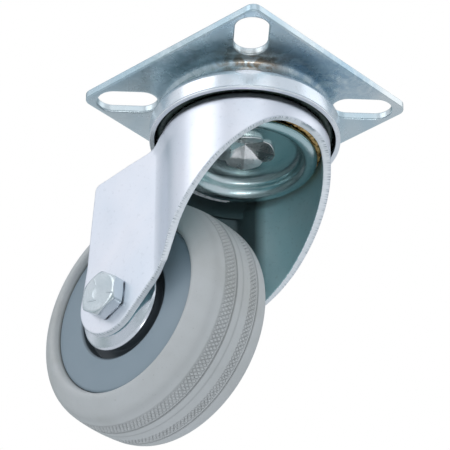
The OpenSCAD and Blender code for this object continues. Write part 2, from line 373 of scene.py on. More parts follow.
def rubber(name):
    m, nt, b = nodes_of(name)
    co = mapped(nt)
    n1 = noise(nt, 45, 5, 0.62, co, 0.4)
    col = ramp(nt, n1.outputs["Fac"], [(0.25, (0.525, 0.525, 0.505)), (0.5, (0.592, 0.597, 0.590)), (0.78, (0.635, 0.642, 0.642))])
    n4 = noise(nt, 1500, 3, 0.65, co)
    sp = ramp(nt, n4.outputs["Fac"], [(0.27, (0.72, 0.71, 0.69)), (0.36, (1, 1, 1))])
    mix = nt.nodes.new("ShaderNodeMix")
    mix.data_type = "RGBA"
    mix.blend_type = "MULTIPLY"
    mix.inputs["Factor"].default_value = 0.5
    nt.links.new(col.outputs["Color"], mix.inputs["A"])
    nt.links.new(sp.outputs["Color"], mix.inputs["B"])
    # Tyre colour darkened by a per-vertex attribute: partly painted shade at the hub gap and shoulder.
    at = nt.nodes.new("ShaderNodeAttribute")
    at.attribute_name = "dirt"
    darkening_mix = nt.nodes.new("ShaderNodeMix")
    darkening_mix.data_type = "RGBA"
    nt.links.new(at.outputs["Fac"], darkening_mix.inputs["Factor"])
    nt.links.new(mix.outputs["Result"], darkening_mix.inputs["A"])
    darkening_mix.inputs["B"].default_value = (0.11, 0.12, 0.115, 1)
    nt.links.new(darkening_mix.outputs["Result"], b.inputs["Base Color"])
    n2 = noise(nt, 180, 4, 0.6, co)
    nt.links.new(map_range(nt, n2.outputs["Fac"], 0.5, 0.66, 0.3, 0.7), b.inputs["Roughness"])
    n3 = noise(nt, 1300, 4, 0.6, co)
    bump = nt.nodes.new("ShaderNodeBump")
    bump.inputs["Strength"].default_value = 0.10
    bump.inputs["Distance"].default_value = 0.00012
    nt.links.new(n3.outputs["Fac"], bump.inputs["Height"])
    nt.links.new(bump.outputs["Normal"], b.inputs["Normal"])
    b.inputs["Specular IOR Level"].default_value = 0.4
    return m


def grease_mat(name, dark, base, rough):
    m, nt, b = nodes_of(name)
    co = mapped(nt)
    n1 = noise(nt, 520, 4, 0.6, co, 0.5)
    col = ramp(nt, n1.outputs["Fac"], [(0.40, dark), (0.54, base)])
    nt.links.new(col.outputs["Color"], b.inputs["Base Color"])
    nt.links.new(map_range(nt, n1.outputs["Fac"], rough, rough + 0.2, 0.3, 0.7), b.inputs["Roughness"])
    bump = nt.nodes.new("ShaderNodeBump")
    bump.inputs["Strength"].default_value = 0.5
    bump.inputs["Distance"].default_value = 0.0003
    nt.links.new(n1.outputs["Fac"], bump.inputs["Height"])
    nt.links.new(bump.outputs["Normal"], b.inputs["Normal"])
    return m


M_PLATE = zinc("zinc_plate", (0.61, 0.71, 0.75), (0.47, 0.62, 0.70), (0.75, 0.79, 0.79), (0.20, 0.34), grain=0.14)


def painted_shade_patch(m, centre, radius, colour, strength):
    """A faint tinted patch around one place on a plated part: painted shade and painted reflection."""
    nt = m.node_tree
    b = nt.nodes["Principled BSDF"]
    tc = nt.nodes.new("ShaderNodeTexCoord")
    mp = nt.nodes.new("ShaderNodeMapping")
    mp.vector_type = "POINT"
    mp.inputs["Location"].default_value = tuple(-c / r for c, r in zip(centre, radius))
    mp.inputs["Scale"].default_value = tuple(1 / r for r in radius)
    nt.links.new(tc.outputs["Object"], mp.inputs["Vector"])
    ln = nt.nodes.new("ShaderNodeVectorMath")
    ln.operation = "LENGTH"
    nt.links.new(mp.outputs["Vector"], ln.inputs[0])
    n = noise(nt, 420, 5, 0.65, tc.outputs["Object"], 0.6)
    k = nt.nodes.new("ShaderNodeMath")
    k.operation = "MULTIPLY"
    nt.links.new(map_range(nt, ln.outputs["Value"], 1.0, 0.0, 0.2, 1.0), k.inputs[0])
    nt.links.new(map_range(nt, n.outputs["Fac"], 0.0, strength, 0.36, 0.6), k.inputs[1])
    mix = nt.nodes.new("ShaderNodeMix")
    mix.data_type = "RGBA"
    src = b.inputs["Base Color"].links[0].from_socket
    nt.links.new(k.outputs["Value"], mix.inputs["Factor"])
    nt.links.new(src, mix.inputs["A"])
    mix.inputs["B"].default_value = (*colour, 1)
    nt.links.new(mix.outputs["Result"], b.inputs["Base Color"])


def shade(m, value, lo, hi, a, b_):
    """Multiply the colour of a material by a grey that runs from lo to hi as value runs from a to b_."""
    nt = m.node_tree
    b = nt.nodes["Principled BSDF"]
    mix = nt.nodes.new("ShaderNodeMix")
    mix.data_type = "RGBA"
    mix.blend_type = "MULTIPLY"
    mix.inputs["Factor"].default_value = 1.0
    src = b.inputs["Base Color"].links[0].from_socket
    grey = nt.nodes.new("ShaderNodeCombineColor")
    k = map_range(nt, value, lo, hi, a, b_)
    for c in ("Red", "Green", "Blue"):
        nt.links.new(k, grey.inputs[c])
    nt.links.new(src, mix.inputs["A"])
    nt.links.new(grey.outputs["Color"], mix.inputs["B"])
    nt.links.new(mix.outputs["Result"], b.inputs["Base Color"])


def place_along(m, axis):
    nt = m.node_tree
    tc = nt.nodes.new("ShaderNodeTexCoord")
    dot = nt.nodes.new("ShaderNodeVectorMath")
    dot.operation = "DOT_PRODUCT"
    nt.links.new(tc.outputs["Object"], dot.inputs[0])
    dot.inputs[1].default_value = tuple(axis)
    return dot.outputs["Value"]


def larger(m, a, b):
    n = m.node_tree.nodes.new("ShaderNodeMath")
    n.operation = "MAXIMUM"
    m.node_tree.links.new(a, n.inputs[0])
    m.node_tree.links.new(b, n.inputs[1])
    return n.outputs["Value"]


def place_from(m, centre):
    """Distance from a place on the part."""
    nt = m.node_tree
    tc = nt.nodes.new("ShaderNodeTexCoord")
    sub = nt.nodes.new("ShaderNodeVectorMath")
    sub.operation = "SUBTRACT"
    nt.links.new(tc.outputs["Object"], sub.inputs[0])
    sub.inputs[1].default_value = tuple(centre)
    ln = nt.nodes.new("ShaderNodeVectorMath")
    ln.operation = "LENGTH"
    nt.links.new(sub.outputs["Vector"], ln.inputs[0])
    return ln.outputs["Value"]


def place_from_axle(m):
    """Distance from the axle."""
    nt = m.node_tree
    tc = nt.nodes.new("ShaderNodeTexCoord")
    sub = nt.nodes.new("ShaderNodeVectorMath")
    sub.operation = "SUBTRACT"
    nt.links.new(tc.outputs["Object"], sub.inputs[0])
    sub.inputs[1].default_value = tuple(WHEEL)
    cr = nt.nodes.new("ShaderNodeVectorMath")
    cr.operation = "CROSS_PRODUCT"
    nt.links.new(sub.outputs["Vector"], cr.inputs[0])
    cr.inputs[1].default_value = tuple(A)
    ln = nt.nodes.new("ShaderNodeVectorMath")
    ln.operation = "LENGTH"
    nt.links.new(cr.outputs["Vector"], ln.inputs[0])
    return ln.outputs["Value"]


# Teal patches of painted shade and painted reflection on the plate's underside, left and right of the boss.
painted_shade_patch(M_PLATE, (-0.016, -0.018, -0.0035), (0.026, 0.016, 0.006), (0.30, 0.42, 0.45), 0.75)
painted_shade_patch(M_PLATE, (0.018, -0.014, -0.0035), (0.024, 0.018, 0.006), (0.26, 0.40, 0.52), 0.85)
# Brown patch on the front of the boss: a painted reflection of the brown grease in the race.
painted_shade_patch(M_PLATE, (0.0015, -0.0212, -0.0038), (0.0155, 0.0062, 0.0035), (0.30, 0.20, 0.11), 1.0)
M_LIP = zinc("zinc_race_lip", (0.93, 0.94, 0.96), (0.86, 0.89, 0.92), (0.96, 0.96, 0.97), (0.32, 0.46), grain=0.35, scratch=0.1, spots=0.35)
M_RACE = zinc("zinc_race", (0.82, 0.86, 0.90), (0.74, 0.81, 0.87), (0.87, 0.88, 0.92), (0.18, 0.30))
M_FORK = zinc("zinc_fork", (0.84, 0.86, 0.92), (0.79, 0.83, 0.90), (0.88, 0.88, 0.93), (0.30, 0.40))
M_EDGE = zinc_edge("zinc_fork_edge")
# Darker teal copy of the race's zinc for the dish: painted shade and painted reflection of its hollow.
M_CUP_SHADED = zinc("zinc_cup", (0.54, 0.70, 0.71), (0.40, 0.58, 0.60), (0.74, 0.82, 0.82), (0.14, 0.26), grain=0.5, wave=0.35, spots=0.5)
# Darker zinc for the bolt and nut than for the small parts: painted shade on their facets.
M_BOLT_SHADED = zinc("zinc_bolt", (0.72, 0.77, 0.79), (0.60, 0.67, 0.70), (0.84, 0.85, 0.86), (0.16, 0.28), grain=0.16, scratch=0.16)
M_SMALL = zinc("zinc_small", (0.85, 0.87, 0.91), (0.78, 0.82, 0.88), (0.90, 0.90, 0.93), (0.18, 0.30))
M_PIN = zinc("pin_steel", (0.90, 0.89, 0.88), (0.66, 0.71, 0.70), (0.96, 0.94, 0.93), (0.20, 0.34), grain=0.3, scratch=0.5, spots=0.35)
M_SLEEVE = zinc("sleeve_steel", (0.62, 0.63, 0.65), (0.56, 0.58, 0.60), (0.66, 0.66, 0.66), (0.22, 0.36))
M_BALL = zinc("ball_steel", (0.58, 0.42, 0.22), (0.40, 0.27, 0.12), (0.70, 0.58, 0.38), (0.08, 0.2), grain=0.02, scratch=0.0, wave=0.0)
M_NYLON = plastic("nylon", (0.80, 0.83, 0.86), (0.74, 0.78, 0.82), (0.3, 0.42))
M_BUSH = plastic("bush_plastic", (0.76, 0.76, 0.72), (0.70, 0.70, 0.66), (0.32, 0.45))
M_HUB = plastic("hub_plastic", (0.295, 0.362, 0.412), (0.270, 0.338, 0.388), (0.34, 0.46), 0.05, 2200)
M_TYRE = rubber("tyre_rubber")
# Darker teal copy of the fork's zinc for its inner faces: painted shade, in part a duller plating inside.
M_FORK_IN_SHADED = zinc("zinc_fork_inner_shaded", (0.36, 0.57, 0.60), (0.27, 0.48, 0.52), (0.50, 0.66, 0.68), (0.30, 0.42), grain=0.5, spots=0.4)
M_FORK_IN_SHADED.node_tree.nodes["Principled BSDF"].inputs["Metallic"].default_value = 0.45
M_FORK_IN_SHADED.node_tree.nodes["Principled BSDF"].inputs["Specular IOR Level"].default_value = 0.05
# Near-black copy of the ball steel for the upper balls: painted shade of the gap they sit in.
M_BALL_UP_SHADED = zinc("ball_steel_shaded", (0.14, 0.17, 0.15), (0.08, 0.11, 0.10), (0.24, 0.25, 0.20), (0.10, 0.22), grain=0.02, scratch=0.0, wave=0.0)
M_GREASE = grease_mat("race_grease", (0.16, 0.085, 0.025), (0.86, 0.56, 0.22), 0.14)
# Near-black grease for the upper race: a painted shadow of the gap, given as grease.
M_GREASE_SHADOW = grease_mat("race_grease_shadow", (0.010, 0.022, 0.020), (0.035, 0.055, 0.045), 0.3)

# Painted shadow: the inner flat of the far leg behind the wheel is darkened to 0.16 of its colour.
shade(M_FORK_IN_SHADED, larger(M_FORK_IN_SHADED, map_range(M_FORK_IN_SHADED.node_tree, place_from(M_FORK_IN_SHADED, T * 0.0205 - A * 0.0125 - Z * 0.0265), 0, 1, 0.016, 0.026),
                        map_range(M_FORK_IN_SHADED.node_tree, place_along(M_FORK_IN_SHADED, T), 1, 0, 0.0085, 0.0115)), 0.16, 1.0, 0, 1)
# Painted shade in the hub's recess: colour at 0.3 within 14.2 mm of the axle, full beyond 15 mm.
shade(M_HUB, place_from_axle(M_HUB), 0.30, 1.0, 0.0142, 0.0150)

for node, mat in (("top_plate", M_PLATE), ("upper_race", M_RACE), ("kingpin", M_PIN), ("lower_race", M_CUP_SHADED),
                  ("upper_balls", M_BALL_UP_SHADED), ("lower_balls", M_BALL), ("fork", M_FORK), ("axle_bolt", M_BOLT_SHADED),
                  ("axle_nut", M_BOLT_SHADED), ("nut_insert", M_NYLON), ("nut_washer", M_SMALL), ("axle_sleeve", M_SLEEVE),
                  ("thread_guard_left", M_SMALL), ("thread_guard_right", M_SMALL), ("hub", M_HUB),
                  ("bush_left", M_BUSH), ("bush_right", M_BUSH), ("tyre", M_TYRE)):
    ob = frame["nodes"][node]
    if not ob.material_slots:
        ob.data.materials.append(mat)
    for s in ob.material_slots:
        s.material = mat

# ------------------------------------------------------------------ smooth solids by distance field
def union_round(a, b, r):
    return np.maximum(r, np.minimum(a, b)) - np.hypot(np.maximum(r - a, 0), np.maximum(r - b, 0))


def cut_round(a, b, r):
    """Intersection of two fields with the shared edge rounded to radius r."""
    return -union_round(-a, -b, r)


def smooth(a, b, x):
    t = np.clip((x - a) / (b - a), 0, 1)
    return t * t * (3 - 2 * t)


def round_rect(qx, qy, r):
    """Field of the quarter plane qx < 0, qy < 0 grown by r, with its corner rounded to r."""
    return np.hypot(np.maximum(qx, 0), np.maximum(qy, 0)) + np.minimum(np.maximum(qx, qy), 0) - r


def net(field, lo, hi, h):
    """Mesh of field(x, y, z) = 0: one vertex a cell, then moved onto the surface. Returns vertices, normals and quads."""
    lo, hi = np.array(lo, float), np.array(hi, float)
    n = np.ceil((hi - lo) / h).astype(int) + 1
    ax = [lo[i] + h * np.arange(n[i]) for i in range(3)]
    F = np.empty(n, np.float32)
    for i in range(0, n[0], 12):
        F[i:i + 12] = field(*np.meshgrid(ax[0][i:i + 12], ax[1], ax[2], indexing="ij"))
    S = F < 0
    c = [slice(0, -1), slice(1, None)]
    count = np.zeros(n - 1, np.int8)
    for a in (0, 1):
        for b in (0, 1):
            for d in (0, 1):
                count += S[c[a], c[b], c[d]]
    act = (count > 0) & (count < 8)
    cells = np.argwhere(act)
    idx = np.full(n - 1, -1, np.int32)
    idx[act] = np.arange(len(cells))
    tot, num = np.zeros((len(cells), 3)), np.zeros(len(cells))
    for axis in range(3):
        o = [k for k in range(3) if k != axis]
        for a in (0, 1):
            for b in (0, 1):
                p = cells.copy()
                p[:, o[0]] += a
                p[:, o[1]] += b
                q = p.copy()
                q[:, axis] += 1
                va, vb = F[p[:, 0], p[:, 1], p[:, 2]], F[q[:, 0], q[:, 1], q[:, 2]]
                on = (va < 0) != (vb < 0)
                t = va[on] / (va[on] - vb[on])
                pos = p[on].astype(float)
                pos[:, axis] += t
                tot[on] += pos
                num[on] += 1
    V = lo + h * tot / num[:, None]
    quads = []
    for axis in range(3):
        o = [(axis + 1) % 3, (axis + 2) % 3]
        s0 = [slice(1, -1)] * 3
        s1 = [slice(1, -1)] * 3
        s0[axis], s1[axis] = slice(0, -1), slice(1, None)
        a, b = S[tuple(s0)], S[tuple(s1)]
        e = np.argwhere(a != b)
        e[:, o[0]] += 1
        e[:, o[1]] += 1
        inside = S[e[:, 0], e[:, 1], e[:, 2]]
        ring = []
        for da, db in ((1, 1), (0, 1), (0, 0), (1, 0)):
            k = e.copy()
            k[:, o[0]] -= da
            k[:, o[1]] -= db
            ring.append(idx[k[:, 0], k[:, 1], k[:, 2]])
        q = np.stack(ring, 1)
        q[~inside] = q[~inside][:, ::-1]
        quads.append(q)
    Q = np.concatenate(quads)

    def grad(P):
        e = 0.25 * h
        g = np.empty_like(P)
        for k in range(3):
            d = np.zeros(3)
            d[k] = e
            g[:, k] = (field(*(P + d).T) - field(*(P - d).T)) / (2 * e)
        return g

    for _ in range(3):
        f, g = field(*V.T), grad(V)
        step = -f / np.maximum((g * g).sum(1), 0.05)
        V = V + np.clip(step, -h, h)[:, None] * g
    g = grad(V)
    N = g / np.maximum(np.linalg.norm(g, axis=1), 1e-9)[:, None]
    # quads that face into the solid are turned
    fn = np.cross(V[Q[:, 2]] - V[Q[:, 0]], V[Q[:, 3]] - V[Q[:, 1]])
    flip = (fn * N[Q[:, 0]]).sum(1)
    if (flip < 0).sum() > len(Q) / 2:
        Q = Q[:, ::-1]
    return V, N, Q


FORK_M = np.array([T, A, Z]).reshape(3, 3) * MM           # fork's own frame, mm, to the row, metres
HEAD_M = np.eye(3) * MM


def net_piece(name, parts, frame_m, mats, body, replaces, mat_of=None, uv_of=None):
    """One piece from one or more nets, with normals taken from their fields."""
    Vs, Ns, Qs, base, mi = [], [], [], 0, []
    for V, N, Q in parts:
        Vs.append(V)
        Ns.append(N)
        Qs.append(Q + base)
        base += len(V)
    V, N, Q = np.concatenate(Vs), np.concatenate(Ns), np.concatenate(Qs)
    me = bpy.data.meshes.new(name)
    W = (V @ frame_m).astype(np.float32)
    me.vertices.add(len(V))
    me.vertices.foreach_set("co", W.ravel())
    me.loops.add(len(Q) * 4)
    if np.linalg.det(frame_m) < 0:
        Q = Q[:, ::-1]
    me.loops.foreach_set("vertex_index", Q.ravel().astype(np.int32))
    me.polygons.add(len(Q))
    me.polygons.foreach_set("loop_start", np.arange(0, len(Q) * 4, 4, dtype=np.int32))
    me.polygons.foreach_set("loop_total", np.full(len(Q), 4, np.int32))
    if mat_of is not None:
        me.polygons.foreach_set("material_index", mat_of(V[Q].mean(1)).astype(np.int32))
    me.update(calc_edges=True)
    if uv_of is not None:
        layer = me.uv_layers.new(name="UVMap")
        layer.data.foreach_set("uv", uv_of(V)[Q.ravel()].astype(np.float32).ravel())
    me.validate()
    me.shade_smooth()
    M = frame_m / MM
    me.normals_split_custom_set_from_vertices((N @ M).tolist())
    ob = bpy.data.objects.new(name, me)
    bpy.context.scene.collection.objects.link(ob)
    for m in (mats if isinstance(mats, (list, tuple)) else [mats]):
        me.materials.append(m)
    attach(ob, body)
    if replaces:
        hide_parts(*replaces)
    return ob


# ------------------------------------------------------------------ fork
ZU = -2.3                                                  # plate's underside
CROWN_R, SHEET, SHOULDER = 22.2, 2.1, (18.2, -15.8)
LEG_OUT, LEG_IN = 17.15, 15.05
TAN = 230.5
fork_line = rounded(
    [(-27, -14.8), (-27, -18.9), (-20.97, -18.9, 4.5), (12.0, -53.05, 7.5)]
    + arc(TRAIL, AXLE_Z, 10, TAN, 369, 36)
    + [(39.35, -44.3, 5), (38.4, -32.3, 12), (37.2, -19.75, 1.9), (32.2, -19.2), (24.9, -18.2, 8), (18.2, -17.6, 3),
       (16.3, -17.0, 2), (14.4, -16.1, 2), (12.6, -15.2), (10, -14.8)], True, 8)


def line_field(pts, lo, hi, h):
    """Signed distance to a closed outline and length along it, on a raster."""
    P = np.array(pts)
    E = np.roll(P, -1, 0) - P
    L = np.linalg.norm(E, axis=1)
    keep = L > 1e-6
    P, E, L = P[keep], E[keep], L[keep]
    start = np.concatenate([[0], np.cumsum(L)[:-1]])
    gx = np.arange(lo[0], hi[0] + h, h)
    gz = np.arange(lo[1], hi[1] + h, h)
    X, Y = np.meshgrid(gx, gz, indexing="ij")
    best = np.full(X.shape, 1e9)
    along = np.zeros(X.shape)
    inside = np.zeros(X.shape, bool)
    for p, e, l, s in zip(P, E, L, start):
        t = np.clip(((X - p[0]) * e[0] + (Y - p[1]) * e[1]) / (l * l), 0, 1)
        d = (X - p[0] - t * e[0]) ** 2 + (Y - p[1] - t * e[1]) ** 2
        m = d < best
        best[m] = d[m]
        along[m] = (s + t * l)[m]
        cross = ((p[1] > Y) != (p[1] + e[1] > Y))
        if abs(e[1]) > 1e-12:
            inside ^= cross & (X < p[0] + (Y - p[1]) / e[1] * e[0])
    D = np.sqrt(best)
    D[inside] *= -1
    return D, along, lo, h


def look_up(raster, x, z):
    D, lo, h = raster
    u = np.clip((x - lo[0]) / h, 0, D.shape[0] - 1.001)
    v = np.clip((z - lo[1]) / h, 0, D.shape[1] - 1.001)
    i, j = u.astype(int), v.astype(int)
    a, b = u - i, v - j
    return (D[i, j] * (1 - a) * (1 - b) + D[i + 1, j] * a * (1 - b) + D[i, j + 1] * (1 - a) * b + D[i + 1, j + 1] * a * b)


_D, _AL, _lo, _h = line_field(fork_line, (-29.0, -69.0), (44.0, -12.0), 0.08)
FORK_D, FORK_AL = (_D, _lo, _h), (_AL, _lo, _h)


def fork_parts(x, y, z):
    ay = np.abs(y)
    r = np.hypot(x, y)
    d_co = round_rect(r - SHOULDER[0], z - SHOULDER[1], CROWN_R - SHOULDER[0])
    d_ci = round_rect(r - SHOULDER[0], z - SHOULDER[1], CROWN_R - SHEET - SHOULDER[0])
    wo, wi = 1 - smooth(-20.5, -16.2, z), 1 - smooth(-22.0, -18.6, z)
    out = []
    for w, R in ((wo, CROWN_R), (wi, CROWN_R - SHEET)):
        c = 4.7 * w
        rho = np.where(x > 0, np.hypot(x, ay - c), r)
        out.append((rho - np.where(x > 0, R - c, R), rho, np.where(x > 0, R - c, R)))
    (a_o, rho, Ro), (a_i, _, _) = out
    a_o = np.maximum(a_o, d_co)
    s_o = np.maximum(ay - LEG_OUT, 6 - x)
    s_i = np.maximum(ay - LEG_IN, 5 - x)
    d_o = union_round(a_o, s_o, 2.4)
    d_i = union_round(a_i, s_i, 4.2)
    w = smooth(-0.6, 0.6, a_o - s_o)
    X = x * Ro / np.maximum(rho, 1e-6) * (1 - w) + x * w
    line = look_up(FORK_D, X, z)
    return ay, r, d_co, d_ci, d_o, d_i, X, line


def fork_field(x, y, z):
    ay, r, d_co, d_ci, d_o, d_i, X, line = fork_parts(x, y, z)
    sheet = np.maximum(d_o, -d_i)
    wall = cut_round(sheet, line, 0.34)
    wall = cut_round(wall, 3.3 - np.hypot(x - TRAIL, z - AXLE_Z), 0.2)
    jag = 0.16 * np.sin(y * 3.1) + 0.10 * np.sin(y * 7.3 + 1.0) + 1.1 * smooth(11.5, 14.5, -y)
    rear = np.maximum(np.maximum(-18.65 + jag - z, ay - 16.2), 10 - x)
    rear = cut_round(np.maximum(d_co, -d_ci), rear, 0.15)
    deep = np.maximum(np.maximum(-23.85 - z, ay - 16.2), 10 - x)
    deep = np.maximum(deep, z + 16.6)
    rear = np.minimum(rear, cut_round(np.maximum(r - CROWN_R, 21.1 - r), deep, 0.2))
    crown = np.maximum(np.maximum(d_co, -d_ci), -16.0 - z)
    crown = cut_round(crown, 8 - r, 0.2)
    return np.minimum(np.minimum(crown, rear), wall)


def fork_mat(P):
    ay, r, d_co, d_ci, d_o, d_i, X, line = fork_parts(*P.T)
    leg = np.maximum(d_o, -d_i)
    up = P[:, 2] > -15.9
    m = np.where(-d_i > d_o + 0.6, 2, 0)
    m = np.where(up & (r < 22.5), np.where(-d_ci > d_co + 0.6, 2, 0), m)
    edge = (line > leg - 0.02) & (line > -0.25) & ~(up & (r < 22.3))
    lip = (r > 19.9) & (r < 21.15) & (np.abs(P[:, 2] + 18.65 - 1.1 * smooth(11.5, 14.5, -P[:, 1])) < 0.42) & (P[:, 0] > 9) & (ay < 16.3)
    # Lower outside of the rear skirt takes the darker inner material, index 2: painted shade.
    m = np.where((P[:, 0] > 9) & (ay < 16.3) & (P[:, 2] < -18.9) & (r > 20.9) & (r < 22.1), 2, m)
    m = np.where(edge | lip, 1, m)
    # Bottom of the deep skirt takes the darker inner material, index 2: painted shade over its lit edge.
    return np.where((P[:, 0] > 9) & (ay < 15.0) & (P[:, 2] < -23.2) & (r > 20.9) & (r < 22.4), 2, m)


def fork_uv(V):
    ay, r, d_co, d_ci, d_o, d_i, X, line = fork_parts(*V.T)
    return np.stack([look_up(FORK_AL, X, V[:, 2]) * MM, d_o * MM], 1)


net_piece("fork_pressing", [net(fork_field, (-22.9, -22.9, -67.0), (42.0, 22.9, -11.2), 0.27)], FORK_M,
          [M_FORK, M_EDGE, M_FORK_IN_SHADED], "fork", ["fork"], fork_mat, fork_uv)


# ------------------------------------------------------------------ plate
def plate_field(x, y, z):
    k = math.sqrt(0.5)
    u, v = np.abs(x + y) * k, np.abs(y - x) * k
    edge = round_rect(u - 27.6, v - 27.6, 2.6)
    ax_, ay_ = np.abs(x), np.abs(y)
    s1 = np.hypot(np.maximum(np.abs(ax_ - 30.7) - 3.5, 0), ay_) - 4.4
    s2 = np.hypot(np.maximum(np.abs(ay_ - 30.7) - 3.5, 0), ax_) - 4.4
    slots = np.minimum(s1, s2)
    r = np.hypot(x, y)
    low = cut_round(edge, ZU - z, 0.45)
    boss = round_rect(r - 18.6, -7.09 + 1.4 - z, 1.4)
    solid = union_round(low, boss, 2.3)
    hollow = round_rect(r - 16.7, -4.79 + 1.0 - z, 1.0)
    solid = cut_round(solid, z, 0.3)
    solid = cut_round(solid, -hollow, 2.4)
    solid = cut_round(solid, -slots, 0.45)
    return np.maximum(solid, 4.9 - r)


net_piece("mounting_plate", [net(plate_field, (-43.0, -43.0, -7.6), (43.0, 43.0, 0.5), 0.3)], HEAD_M,
          [M_PLATE], "plate", ["top_plate"])

ring = turned("race_ring", rounded([(5.05, -7.12), (22.3, -7.12)] + arc(22.3, -9.69, 2.57, 90, 0, 14)[1:]
                                   + [(24.87, -13.16, 0.1), (24.72, -13.22, 0.05), (24.74, -13.34, 0.1), (24.84, -13.46, 0.1), (24.84, -13.79, 0.22),
                                      (23.53, -13.79, 0.3), (23.53, -9.7)]
                                   + arc(22.3, -9.69, 1.23, 0, 90, 8)[1:] + [(5.05, -8.46)], True, 5),
              about_pivot, [M_RACE, M_LIP], "plate", ["upper_race"], segs=256)
for f in ring.data.polygons:
    if f.center.z < -0.0133 and f.center.xy.length > 0.0236:
        f.material_index = 1

# lower race: dish with a rolled rim; the balls run on its outer wall
_k = 18.0 - 16.0 - math.sqrt(2) * (3.969 / 2 + 0.12)


def dish_bump(i, r, h, a):
    """Slight waves left by the press on the rim's underside."""
    if r < 12 or h > -16.5 or r > 18.7:
        return r, h
    return r, h + 0.05 * math.sin(3 * a + 0.7) + 0.03 * math.sin(8 * a + 2.0)


turned("race_dish", rounded([(5.05, -14.42), (_k + 14.42, -14.42, 2.0), (17.0, _k - 17.0), (17.55, -18.27)], False, 8)
       + arc(17.6, -19.42, 1.18, 78, -90, 16) + arc(17.27, -17.91, 2.7, -90, -180, 22)
       + [(11.0 + 3.57 * math.sin(g), -16.18 - 1.73 * (1 - math.cos(g))) for g in [math.radians(90 - 6 * k) for k in range(1, 16)]]
       + [(9.0, -16.18), (5.05, -16.18)],
       about_pivot, M_CUP_SHADED, "plate", ["lower_race"], segs=256, bump=dish_bump)


# ------------------------------------------------------------------ kingpin, staked over the dish
def stake(i, r, h, a):
    kind = PIN[i][2] if len(PIN[i]) > 2 else None
    if kind is None:
        return r, h
    al = (math.degrees(a) + 45) % 90 - 45
    t = abs(math.tan(math.radians(al)))
    rim = 7.45 - 0.85 * smooth(0.55, 1.0, t) + 0.25 * math.sin(a + 0.9) + 0.16 * math.sin(3 * a + 0.4)
    if kind == "face":
        rr = rim * r
        xp = rr * math.cos(math.radians(al))
        ridge = float(np.interp(xp, (0, 3.5, 8.3), (-14.55, -16.55, -17.7)))
        groove = float(np.interp(xp, (0, 1.9, 3.6, 5.6), (-14.55, -15.2, -16.35, -16.7)))
        return rr, ridge + (groove - ridge) * t
    f_r, f_z = kind
    xp = rim * math.cos(math.radians(al))
    ridge = float(np.interp(xp, (0, 3.5, 8.3), (-14.55, -16.55, -17.7)))
    groove = float(np.interp(xp, (0, 1.9, 3.6, 5.6), (-14.55, -15.2, -16.35, -16.7)))
    z0 = ridge + (groove - ridge) * t
    return rim + f_r, z0 + (-15.7 - z0) * f_z


PIN = ([(0, -14.55)] + [(0.985 * k / 14, -16, "face") for k in range(1, 15)]
       + [(8, -16, (0.06, 0.10)), (8, -16, (0.16, 0.32)), (8, -16, (0.12, 0.7)), (8, -16, (-0.25, 1.0))]
       + [(4.95, -15.6), (4.95, -5.0), (8.5, -4.78), (8.72, -4.5), (8.78, -4.0)]
       + [(14.85 * math.cos(math.radians(g)), -4.79 - 11.4 + 14.85 * math.sin(math.radians(g))) for g in (57, 63, 69, 75, 81, 86)]
       + [(0, -1.35)])
turned("kingpin_staked", [(q[0], q[1]) for q in PIN], about_pivot, M_PIN, "plate", ["kingpin"], segs=200, closed=False, sharp=11, bump=stake, weighted=False)


# ------------------------------------------------------------------ axle bolt, nut and washer
HEX0 = 155.1


def hexagon(x, z, af, r):
    out = None
    for k in range(6):
        g = math.radians(HEX0 + 30 + 60 * k)
        d = x * math.cos(g) + z * math.sin(g) - (af / 2 - r)
        out = d if out is None else np.maximum(out, d) if r == 0 else cut_round(out, d, r * 1.6)
    return out - r


def bar(x, z, p, q, w):
    px, pz = q[0] - p[0], q[1] - p[1]
    t = np.clip(((x - p[0]) * px + (z - p[1]) * pz) / (px * px + pz * pz), 0, 1)
    return np.hypot(x - p[0] - t * px, z - p[1] - t * pz) - w


def head_field(x, y, z):
    u, v = x - TRAIL, z - AXLE_Z
    r = np.hypot(u, v)
    top = LEG_OUT + 3.82
    hexa = hexagon(u, v, 11.11, 0.18)
    cone = (y - top) * 0.88 + (r - 5.3) * 0.47
    d = cut_round(cut_round(hexa, y - top, 0.12), cone, 0.2)
    d = cut_round(d, LEG_OUT + 0.32 - y, 0.1)
    d = np.minimum(d, cut_round(r - 5.15, LEG_OUT + 0.03 - y, 0.05))
    dish = np.hypot(np.hypot(u, v), y - top - 19.9) - 20
    d = cut_round(d, -dish, 0.1)
    ticks = np.minimum(bar(u, v, (3.35, -1.5), (0.6, -2.15), 0.17), bar(u, v, (-3.4, -1.45), (-4.9, -2.05), 0.17))
    ticks = np.minimum(ticks, bar(u, v, (0.9, 2.6), (1.35, 4.3), 0.17))
    ticks = cut_round(ticks, y - (top + 0.12), 0.08)
    ticks = np.maximum(ticks, top - 0.6 - y)
    return np.minimum(np.maximum(d, y - (top + 0.001)), ticks)


def shank_field(x, y, z):
    u, v = x - TRAIL, z - AXLE_Z
    r, a = np.hypot(u, v), np.arctan2(v, u)
    ph = ((y / 1.27 + a / (2 * math.pi)) % 1.0)
    tri = np.abs(ph - 0.5) * 2
    depth = 0.62 * np.clip((tri - 0.12) / 0.76, 0, 1) * (1 - smooth(-19.5, -18.0, y))
    d = (r - (3.165 - depth)) * 0.72
    d = cut_round(d, -26.72 - y, 0.15)
    d = cut_round(d, (-26.72 + 0.75 - y) * 0.7 + (r - 3.17) * 0.7, 0.1)
    return np.maximum(d, y - (LEG_OUT + 1.5))


net_piece("axle_bolt_steel", [net(head_field, (24.0, 16.9, -63.2), (38.6, 21.6, -49.3), 0.13),
                              net(shank_field, (27.7, -27.1, -59.9), (34.9, 19.1, -52.6), 0.17)],
          FORK_M, [M_BOLT_SHADED], "fork", ["axle_bolt"])

NUT_Y = -LEG_OUT - 1.2


